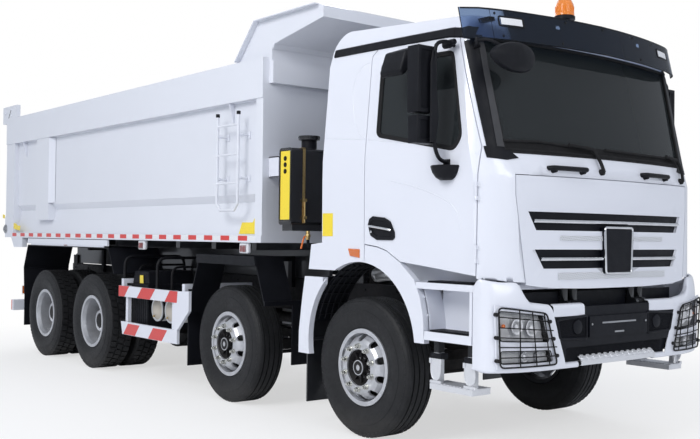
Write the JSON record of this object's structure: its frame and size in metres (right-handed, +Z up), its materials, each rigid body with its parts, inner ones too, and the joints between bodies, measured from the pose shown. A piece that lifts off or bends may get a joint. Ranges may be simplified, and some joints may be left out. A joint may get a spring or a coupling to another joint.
{
  "type": "eight-wheel dump truck",
  "caption": "Forward-control tipping truck with twin steered axles, a tandem driven bogie, a front hoist, an open steel bed with cab canopy and a top-hung tailgate.",
  "frame": {"origin": "on the ground under the centre of the truck's bounding box", "axes": "+X forward, +Y to the driver's left, +Z up"},
  "size_m": [9.307, 3.04, 3.4598],
  "materials": {
    "white_paint": "gloss white enamel with a cool cast",
    "tyre": "matt black rubber",
    "rim_silver": "silver wheel paint",
    "frame_black": "satin black chassis paint",
    "chassis_black": "satin black over castings",
    "heat_steel": "dull exhaust steel",
    "tank_alloy": "satin alloy",
    "black_plastic": "fine grained black plastic",
    "grille_black": "satin black with a fine mesh",
    "tank_black": "gloss black",
    "galvanised": "galvanised steel tread",
    "glass": "clear safety glass",
    "visor_tint": "smoked acrylic",
    "amber": "amber lens",
    "trim_grey": "grey cab trim and seats",
    "hoist_steel": "chromed hoist stages"
  },
  "bodies": {
    "chassis": {"frame": "frame_black", "front_axles": "chassis_black", "rear_axles": "chassis_black", "leaf_springs": "chassis_black", "engine": "chassis_black", "propshafts": "chassis_black", "exhaust": "heat_steel", "fuel_tank": "tank_alloy", "air_tanks": "tank_alloy", "battery_box": "black_plastic", "side_guards": "white_paint", "mudguards": "black_plastic", "fenders": "white_paint", "bumper": "white_paint", "bumper_centre": "grille_black", "lamps": "glass", "step_treads": "galvanised", "oil_tank": "tank_black"},
    "knuckle_1_left": {"knuckle_1_left": "chassis_black"},
    "knuckle_1_right": {"knuckle_1_right": "chassis_black"},
    "tie_rod_1": {"tie_rod_1": "chassis_black"},
    "knuckle_2_left": {"knuckle_2_left": "chassis_black"},
    "knuckle_2_right": {"knuckle_2_right": "chassis_black"},
    "tie_rod_2": {"tie_rod_2": "chassis_black"},
    "wheel_1_left": {"tyre_1_left": "tyre", "rim_1_left": "rim_silver"},
    "wheel_1_right": {"tyre_1_right": "tyre", "rim_1_right": "rim_silver"},
    "wheel_2_left": {"tyre_2_left": "tyre", "rim_2_left": "rim_silver"},
    "wheel_2_right": {"tyre_2_right": "tyre", "rim_2_right": "rim_silver"},
    "wheel_3_left": {"tyre_3_left": "tyre", "rim_3_left": "rim_silver"},
    "wheel_3_right": {"tyre_3_right": "tyre", "rim_3_right": "rim_silver"},
    "wheel_4_left": {"tyre_4_left": "tyre", "rim_4_left": "rim_silver"},
    "wheel_4_right": {"tyre_4_right": "tyre", "rim_4_right": "rim_silver"},
    "cab": {"cab_shell": "white_paint", "cab_glass": "glass", "visor": "visor_tint", "beacon": "amber", "cab_interior": "trim_grey", "front_mirror": "black_plastic"},
    "front_flap": {"front_panel": "white_paint", "grille": "grille_black"},
    "door_left": {"door_left": "white_paint", "door_glass_left": "glass", "mirrors_left": "black_plastic"},
    "door_right": {"door_right": "white_paint", "door_glass_right": "glass", "mirrors_right": "black_plastic"},
    "bed": {"bed": "white_paint"},
    "tailgate": {"tailgate": "white_paint"},
    "hoist_barrel": {"hoist_barrel": "chassis_black"},
    "hoist_stage_1": {"hoist_stage_1": "hoist_steel"},
    "hoist_stage_2": {"hoist_stage_2": "hoist_steel"},
    "hoist_stage_3": {"hoist_stage_3": "hoist_steel"}
  },
  "joints": [
    {"name": "steer_1_left", "type": "hinge", "parent": "chassis", "child": "knuckle_1_left", "pos_m": [3.1265, 0.9, 0.54], "axis": [0, 0, 1], "range_deg": [-35, 35]},
    {"name": "steer_1_right", "type": "hinge", "parent": "chassis", "child": "knuckle_1_right", "pos_m": [3.1265, -0.9, 0.54], "axis": [0, 0, 1], "range_deg": [-35, 35]},
    {"name": "tie_rod_turn_1", "type": "hinge", "parent": "knuckle_1_left", "child": "tie_rod_1", "pos_m": [2.9665, 0.9, 0.447], "axis": [0, 0, 1], "range_deg": [-35, 35]},
    {"name": "steer_2_left", "type": "hinge", "parent": "chassis", "child": "knuckle_2_left", "pos_m": [1.1765, 0.9, 0.54], "axis": [0, 0, 1], "range_deg": [-23, 23]},
    {"name": "steer_2_right", "type": "hinge", "parent": "chassis", "child": "knuckle_2_right", "pos_m": [1.1765, -0.9, 0.54], "axis": [0, 0, 1], "range_deg": [-23, 23]},
    {"name": "tie_rod_turn_2", "type": "hinge", "parent": "knuckle_2_left", "child": "tie_rod_2", "pos_m": [1.0165, 0.9, 0.447], "axis": [0, 0, 1], "range_deg": [-23, 23]},
    {"name": "roll_1_left", "type": "hinge", "parent": "knuckle_1_left", "child": "wheel_1_left", "pos_m": [3.1265, 1.03, 0.54], "axis": [0, 1, 0], "continuous": true},
    {"name": "roll_1_right", "type": "hinge", "parent": "knuckle_1_right", "child": "wheel_1_right", "pos_m": [3.1265, -1.03, 0.54], "axis": [0, 1, 0], "continuous": true},
    {"name": "roll_2_left", "type": "hinge", "parent": "knuckle_2_left", "child": "wheel_2_left", "pos_m": [1.1765, 1.03, 0.54], "axis": [0, 1, 0], "continuous": true},
    {"name": "roll_2_right", "type": "hinge", "parent": "knuckle_2_right", "child": "wheel_2_right", "pos_m": [1.1765, -1.03, 0.54], "axis": [0, 1, 0], "continuous": true},
    {"name": "roll_3_left", "type": "hinge", "parent": "chassis", "child": "wheel_3_left", "pos_m": [-1.6735, 0.93, 0.54], "axis": [0, 1, 0], "continuous": true},
    {"name": "roll_3_right", "type": "hinge", "parent": "chassis", "child": "wheel_3_right", "pos_m": [-1.6735, -0.93, 0.54], "axis": [0, 1, 0], "continuous": true},
    {"name": "roll_4_left", "type": "hinge", "parent": "chassis", "child": "wheel_4_left", "pos_m": [-3.0735, 0.93, 0.54], "axis": [0, 1, 0], "continuous": true},
    {"name": "roll_4_right", "type": "hinge", "parent": "chassis", "child": "wheel_4_right", "pos_m": [-3.0735, -0.93, 0.54], "axis": [0, 1, 0], "continuous": true},
    {"name": "cab_tilt", "type": "hinge", "parent": "chassis", "child": "cab", "pos_m": [4.5215, 0, 1.065], "axis": [0, 1, 0], "range_deg": [0, 50]},
    {"name": "flap_lift", "type": "hinge", "parent": "cab", "child": "front_flap", "pos_m": [4.6125, 0, 1.978], "axis": [0, -1, 0], "range_deg": [0, 75]},
    {"name": "door_left_swing", "type": "hinge", "parent": "cab", "child": "door_left", "pos_m": [4.3935, 1.243, 2], "axis": [0, 0, -1], "range_deg": [0, 70]},
    {"name": "door_right_swing", "type": "hinge", "parent": "cab", "child": "door_right", "pos_m": [4.3935, -1.243, 2], "axis": [0, 0, 1], "range_deg": [0, 70]},
    {"name": "bed_tilt", "type": "hinge", "parent": "chassis", "child": "bed", "pos_m": [-4.0235, 0, 1.205], "axis": [0, -1, 0], "range_deg": [0, 45]},
    {"name": "tailgate_swing", "type": "hinge", "parent": "bed", "child": "tailgate", "pos_m": [-4.5635, 0, 3.205], "axis": [0, 1, 0], "range_deg": [0, 60]},
    {"name": "hoist_lean", "type": "hinge", "parent": "chassis", "child": "hoist_barrel", "pos_m": [1.9965, 0, 0.9], "axis": [0, -1, 0], "range_deg": [0, 26.66]},
    {"name": "hoist_slide_1", "type": "slide", "parent": "hoist_barrel", "child": "hoist_stage_1", "axis": [0, 0, 1], "range_m": [0, 1.4967]},
    {"name": "hoist_slide_2", "type": "slide", "parent": "hoist_stage_1", "child": "hoist_stage_2", "axis": [0, 0, 1], "range_m": [0, 1.4967]},
    {"name": "hoist_slide_3", "type": "slide", "parent": "hoist_stage_2", "child": "hoist_stage_3", "axis": [0, 0, 1], "range_m": [0, 1.4967]}
  ],
  "couplings": [
    {"joint": "steer_1_right", "follows": "steer_1_left", "ratio": 1},
    {"joint": "tie_rod_turn_1", "follows": "steer_1_left", "ratio": -1},
    {"joint": "steer_2_left", "follows": "steer_1_left", "ratio": 0.65714},
    {"joint": "steer_2_right", "follows": "steer_1_left", "ratio": 0.65714},
    {"joint": "tie_rod_turn_2", "follows": "steer_1_left", "ratio": -0.65714},
    {"joint": "hoist_lean", "follows": "bed_tilt", "ratio": 0.59231},
    {"joint": "hoist_slide_1", "follows": "bed_tilt", "m_per_rad": 1.9043},
    {"joint": "hoist_slide_2", "follows": "bed_tilt", "m_per_rad": 1.9043},
    {"joint": "hoist_slide_3", "follows": "bed_tilt", "m_per_rad": 1.9043}
  ]
}
